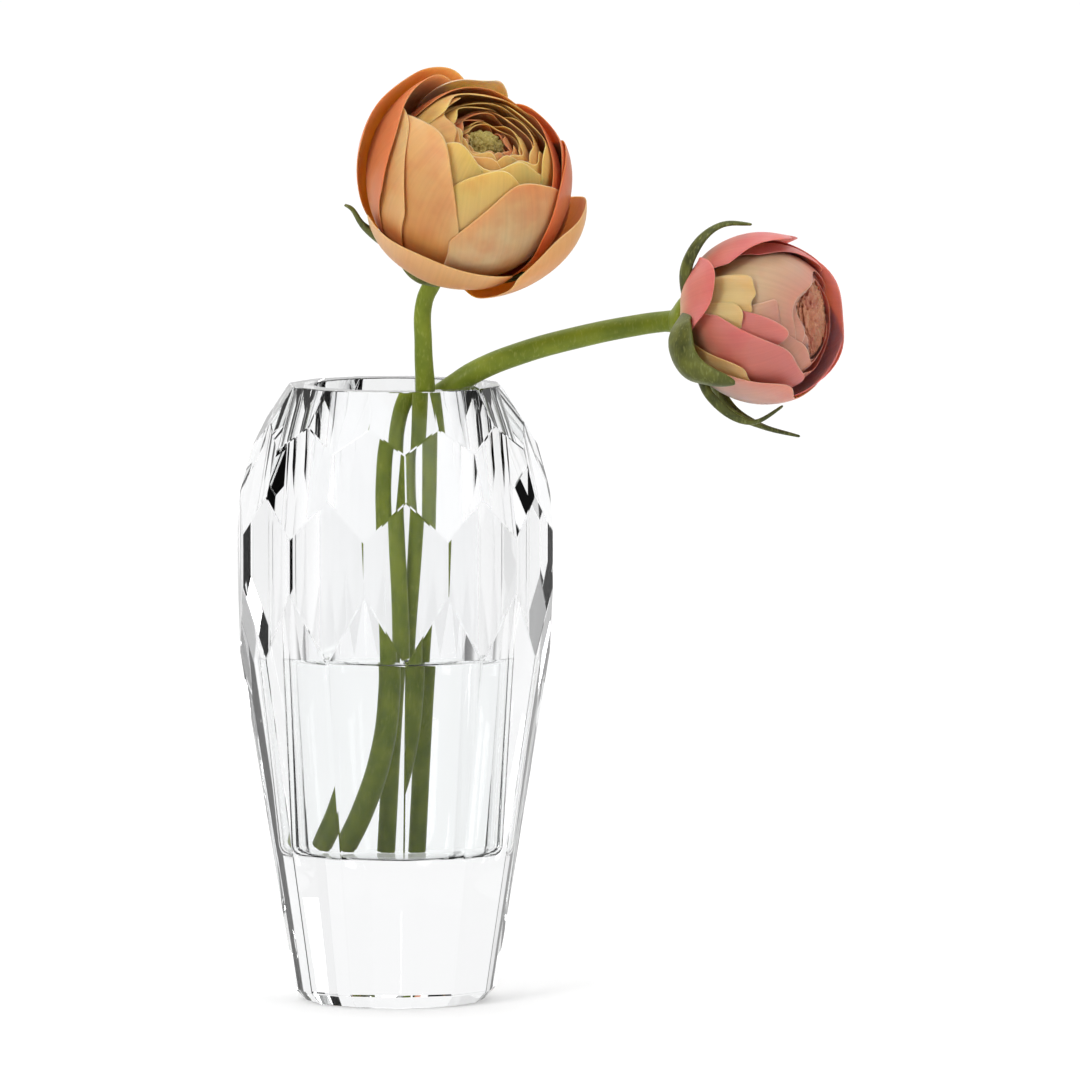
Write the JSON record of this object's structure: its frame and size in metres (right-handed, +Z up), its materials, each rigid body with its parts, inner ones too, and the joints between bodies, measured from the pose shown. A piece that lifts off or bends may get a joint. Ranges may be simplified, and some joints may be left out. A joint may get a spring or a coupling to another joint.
{
  "type": "bud vase",
  "caption": "Tall faceted cut-crystal bud vase with a round blind well, holding water and cut ranunculus stems that lift out.",
  "frame": {"origin": "centre of the vase's resting face, on the well's axis", "axes": "+Z up along the well's axis; -Y towards the front; +X towards the side the pink flower hangs over"},
  "size_m": [0.1536, 0.1006, 0.2358],
  "materials": {
    "crystal": "polished",
    "water": "polished",
    "stem_green": "satin",
    "sepal_green": "satin",
    "orange_petal": "satin",
    "orange_heart": "satin",
    "pink_petal": "satin",
    "pink_heart": "satin",
    "flower_eye": "matte"
  },
  "bodies": {
    "vase": {"vase_body": "crystal", "water": "water"},
    "pink_flower": {"pink_stem": "stem_green", "pink_receptacle": "stem_green", "pink_sepal_1": "sepal_green", "pink_sepal_2": "sepal_green", "pink_sepal_3": "sepal_green", "pink_sepal_4": "sepal_green", "pink_sepal_5": "sepal_green", "pink_heart": "pink_heart", "pink_eye": "flower_eye", "pink_petal_01": "pink_petal", "pink_petal_02": "pink_petal", "pink_petal_03": "pink_petal", "pink_petal_04": "pink_petal", "pink_petal_05": "pink_petal", "pink_petal_06": "pink_petal", "pink_petal_07": "pink_petal", "pink_petal_08": "pink_petal"},
    "orange_flower": {"orange_stem": "stem_green", "orange_receptacle": "stem_green", "orange_sepal_1": "sepal_green", "orange_sepal_2": "sepal_green", "orange_sepal_3": "sepal_green", "orange_sepal_4": "sepal_green", "orange_sepal_5": "sepal_green", "orange_heart": "orange_heart", "orange_eye": "flower_eye", "orange_petal_01": "orange_petal", "orange_petal_02": "orange_petal", "orange_petal_03": "orange_petal", "orange_petal_04": "orange_petal", "orange_petal_05": "orange_petal", "orange_petal_06": "orange_petal", "orange_petal_07": "orange_petal", "orange_petal_08": "orange_petal", "orange_petal_09": "orange_petal", "orange_petal_10": "orange_petal"}
  },
  "joints": [
    {"name": "pink_flower_lift", "type": "slide", "parent": "vase", "child": "pink_flower", "axis": [0, 0, 1], "range_m": [0, 0.13], "deforming": ["water"]},
    {"name": "orange_flower_draw", "type": "slide", "parent": "pink_flower", "child": "orange_flower", "axis": [0.062, -0.2251, 0.9724], "range_m": [0, 0.13]}
  ]
}
